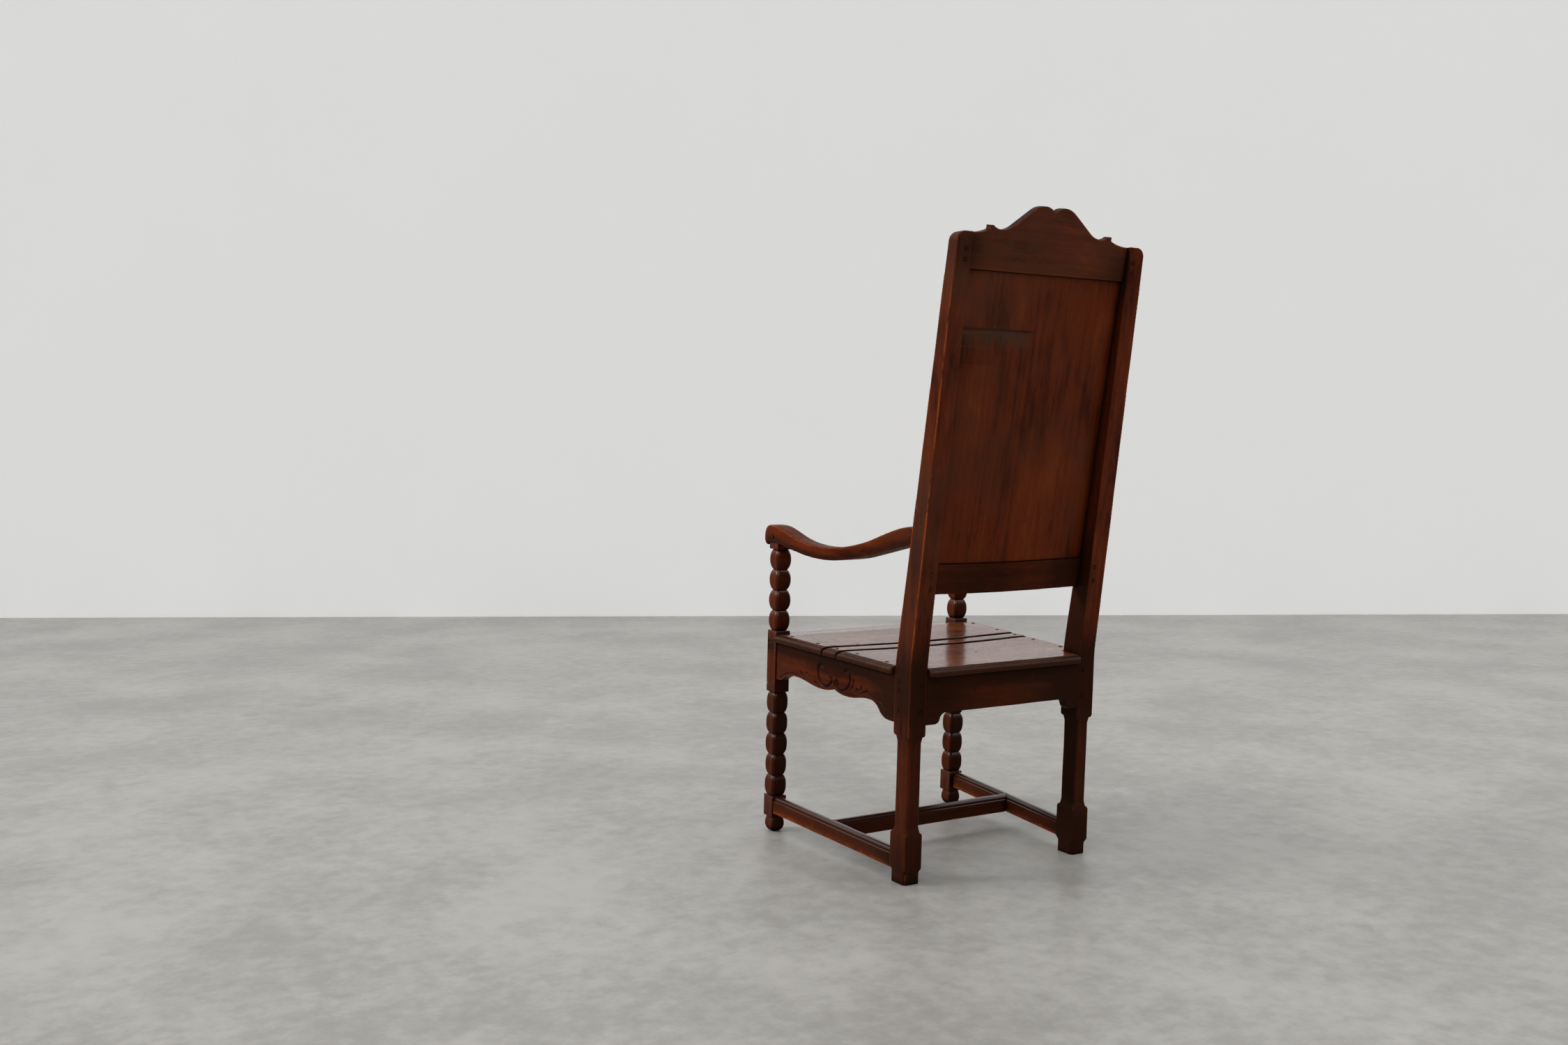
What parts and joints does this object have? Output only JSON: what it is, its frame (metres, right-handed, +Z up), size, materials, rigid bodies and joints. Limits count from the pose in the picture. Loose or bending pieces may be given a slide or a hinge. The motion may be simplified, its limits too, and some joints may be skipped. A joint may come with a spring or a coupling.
{
  "type": "armchair",
  "caption": "High-back joined wooden armchair with a panelled raked back, shaped crest, dipped open arms, faceted beaded front legs and a low stretcher frame.",
  "frame": {"origin": "on the floor, at the middle of the bounding box front to back and side to side", "axes": "+Z up, -Y to the front of the chair, +X to the sitter's left"},
  "size_m": [0.553, 0.6674, 1.3333],
  "materials": {
    "frame_wood": "old waxed and polished hardwood, dark reddish brown, worn light on its edges",
    "panel_wood": "old waxed hardwood board with upright grain, reddish brown",
    "seat_wood": "old waxed boards, worn and polished by use, paler than the frame",
    "peg_wood": "riven hardwood pegs, dark end grain",
    "repair_wood": "old hardwood let in as a repair, a little duller than the frame"
  },
  "bodies": {
    "root": {"arm_pegs": "peg_wood", "back_panel": "panel_wood", "crest_pegs": "peg_wood", "crest_rail": "frame_wood", "cross_stretcher": "frame_wood", "front_seat_rail": "frame_wood", "front_seat_rail_pegs": "peg_wood", "left_arm": "frame_wood", "left_front_leg": "frame_wood", "left_rear_foot_patch": "repair_wood", "left_rear_post": "frame_wood", "left_seat_rail": "frame_wood", "left_side_stretcher": "frame_wood", "lower_back_rail": "frame_wood", "lower_back_rail_pegs": "peg_wood", "rear_seat_rail": "frame_wood", "rear_seat_rail_pegs": "peg_wood", "right_arm": "frame_wood", "right_front_leg": "frame_wood", "right_rear_post": "frame_wood", "right_seat_rail": "frame_wood", "right_side_stretcher": "frame_wood", "seat_board_front": "seat_wood", "seat_board_middle": "seat_wood", "seat_board_rear": "seat_wood", "seat_pegs": "peg_wood", "side_seat_rail_pegs": "peg_wood"}
  },
  "joints": []
}
